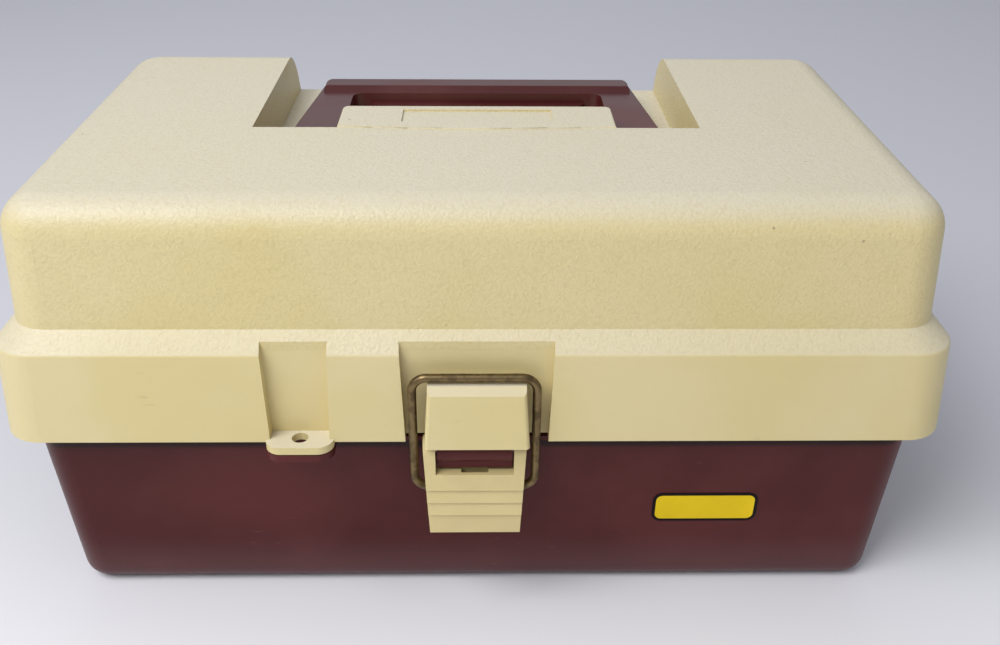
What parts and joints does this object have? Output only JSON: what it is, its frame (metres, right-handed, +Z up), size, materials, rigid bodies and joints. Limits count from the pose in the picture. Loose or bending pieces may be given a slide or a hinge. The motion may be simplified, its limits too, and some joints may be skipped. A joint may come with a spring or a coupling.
{
  "type": "tackle box",
  "caption": "Moulded tackle box: hinged lid with folding handle, draw latch with wire bail, padlock tabs, and cantilever trays that lift with the lid.",
  "frame": {"origin": "middle of the base's footprint on the ground", "axes": "+X to the right seen from the latch side, +Y to the hinges, +Z up"},
  "size_m": [0.362, 0.2306, 0.1759],
  "materials": {
    "cream_plastic": "leather-grained moulded plastic, satin",
    "maroon_plastic": "smooth moulded plastic, satin",
    "tray_plastic": "smooth moulded plastic",
    "divider_plastic": "smooth moulded plastic",
    "brass_wire": "aged, brushed and darkened",
    "plated_steel": "zinc plated",
    "steel_pin": "plated"
  },
  "bodies": {
    "base": {"base": "maroon_plastic", "base_padlock_tab": "maroon_plastic", "base_arm_bosses": "maroon_plastic", "hinge_pins": "steel_pin", "latch_pin": "steel_pin", "base_arm_rivets": "steel_pin"},
    "lid": {"lid": "cream_plastic", "lid_padlock_tab": "cream_plastic", "lid_link_pins": "steel_pin"},
    "handle": {"handle": "maroon_plastic"},
    "latch_lever": {"latch_lever": "cream_plastic"},
    "latch_bail": {"latch_bail": "brass_wire"},
    "lower_tray": {"lower_tray": "tray_plastic", "lower_tray_dividers": "divider_plastic", "lower_tray_rivets": "steel_pin"},
    "upper_tray": {"upper_tray": "tray_plastic", "upper_tray_dividers": "divider_plastic", "upper_tray_rivets": "steel_pin"},
    "rear_arm_left": {"rear_arm_left": "plated_steel", "link_rivet_left": "steel_pin"},
    "front_arm_left": {"front_arm_left": "plated_steel"},
    "lid_link_left": {"lid_link_left": "plated_steel"},
    "rear_arm_right": {"rear_arm_right": "plated_steel", "link_rivet_right": "steel_pin"},
    "front_arm_right": {"front_arm_right": "plated_steel"},
    "lid_link_right": {"lid_link_right": "plated_steel"}
  },
  "joints": [
    {"name": "lid_hinge", "type": "hinge", "parent": "base", "child": "lid", "pos_m": [0, 0.1116, 0.0836], "axis": [-1, 0, 0], "range_deg": [0, 105]},
    {"name": "handle_hinge", "type": "hinge", "parent": "lid", "child": "handle", "pos_m": [0, -0.009, 0.163], "axis": [1, 0, 0], "range_deg": [0, 95]},
    {"name": "latch_lever_hinge", "type": "hinge", "parent": "base", "child": "latch_lever", "pos_m": [-0.0009, -0.1069, 0.08], "axis": [-1, 0, 0], "range_deg": [0, 75]},
    {"name": "bail_hinge", "type": "hinge", "parent": "latch_lever", "child": "latch_bail", "pos_m": [-0.0009, -0.1091, 0.0638], "axis": [1, 0, 0], "range_deg": [0, 90]},
    {"name": "rear_arm_left_hinge", "type": "hinge", "parent": "base", "child": "rear_arm_left", "pos_m": [-0.163, 0.06796, 0.071], "axis": [-1, 0, 0], "range_deg": [0, 105]},
    {"name": "front_arm_left_hinge", "type": "hinge", "parent": "base", "child": "front_arm_left", "pos_m": [-0.163, 0.02996, 0.066], "axis": [-1, 0, 0], "range_deg": [0, 105]},
    {"name": "lid_link_left_hinge", "type": "hinge", "parent": "rear_arm_left", "child": "lid_link_left", "pos_m": [-0.165, 0.00877, 0.0808], "axis": [1, 0, 0], "range_deg": [0, 105]},
    {"name": "rear_arm_right_hinge", "type": "hinge", "parent": "base", "child": "rear_arm_right", "pos_m": [0.163, 0.06796, 0.071], "axis": [-1, 0, 0], "range_deg": [0, 105]},
    {"name": "front_arm_right_hinge", "type": "hinge", "parent": "base", "child": "front_arm_right", "pos_m": [0.163, 0.02996, 0.066], "axis": [-1, 0, 0], "range_deg": [0, 105]},
    {"name": "lid_link_right_hinge", "type": "hinge", "parent": "rear_arm_right", "child": "lid_link_right", "pos_m": [0.165, 0.00877, 0.0808], "axis": [1, 0, 0], "range_deg": [0, 105]},
    {"name": "lower_tray_hinge", "type": "hinge", "parent": "rear_arm_right", "child": "lower_tray", "pos_m": [0.163, 0.01508, 0.07975], "axis": [1, 0, 0], "range_deg": [0, 105]},
    {"name": "upper_tray_hinge", "type": "hinge", "parent": "rear_arm_right", "child": "upper_tray", "pos_m": [0.163, -0.0378, 0.08851], "axis": [1, 0, 0], "range_deg": [0, 105]}
  ],
  "couplings": [
    {"joint": "bail_hinge", "follows": "latch_lever_hinge", "ratio": 1.2},
    {"joint": "rear_arm_left_hinge", "follows": "lid_hinge", "ratio": 1},
    {"joint": "front_arm_left_hinge", "follows": "lid_hinge", "ratio": 1},
    {"joint": "lid_link_left_hinge", "follows": "lid_hinge", "ratio": 1},
    {"joint": "rear_arm_right_hinge", "follows": "lid_hinge", "ratio": 1},
    {"joint": "front_arm_right_hinge", "follows": "lid_hinge", "ratio": 1},
    {"joint": "lid_link_right_hinge", "follows": "lid_hinge", "ratio": 1},
    {"joint": "lower_tray_hinge", "follows": "lid_hinge", "ratio": 1},
    {"joint": "upper_tray_hinge", "follows": "lid_hinge", "ratio": 1}
  ]
}
